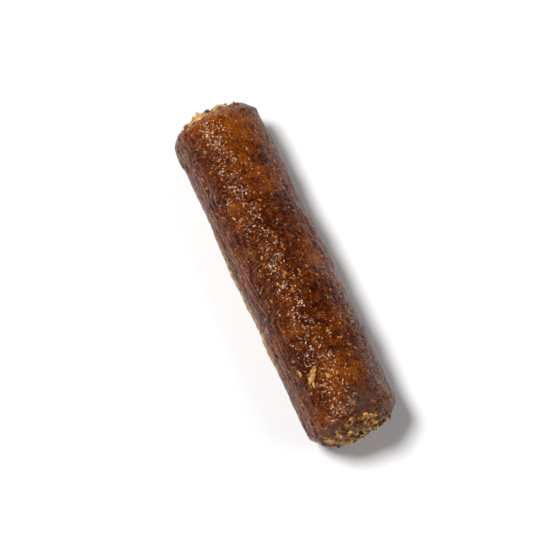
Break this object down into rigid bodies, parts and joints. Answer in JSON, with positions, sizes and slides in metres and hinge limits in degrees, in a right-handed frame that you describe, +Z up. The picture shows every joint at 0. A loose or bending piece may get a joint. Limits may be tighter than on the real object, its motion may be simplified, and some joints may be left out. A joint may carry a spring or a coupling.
{
  "type": "dried sausage",
  "caption": "Short, thick dried sausage lying on its side, with glossy wrinkled skin, blunt crumbly ends, a split lip of skin along one side and a dried flake on top.",
  "frame": {"origin": "on the surface that it lies on, at the centre of the flat spot under its middle", "axes": "+X along the sausage towards the end that shows its crumbs in the picture, +Z up, and the split lip of skin is on the -Y side"},
  "size_m": [0.1076, 0.0282, 0.0253],
  "materials": {
    "sausage_skin": "glossy, finely wrinkled dried skin over coarse filling"
  },
  "bodies": {
    "root": {"sausage": "sausage_skin"}
  },
  "joints": []
}
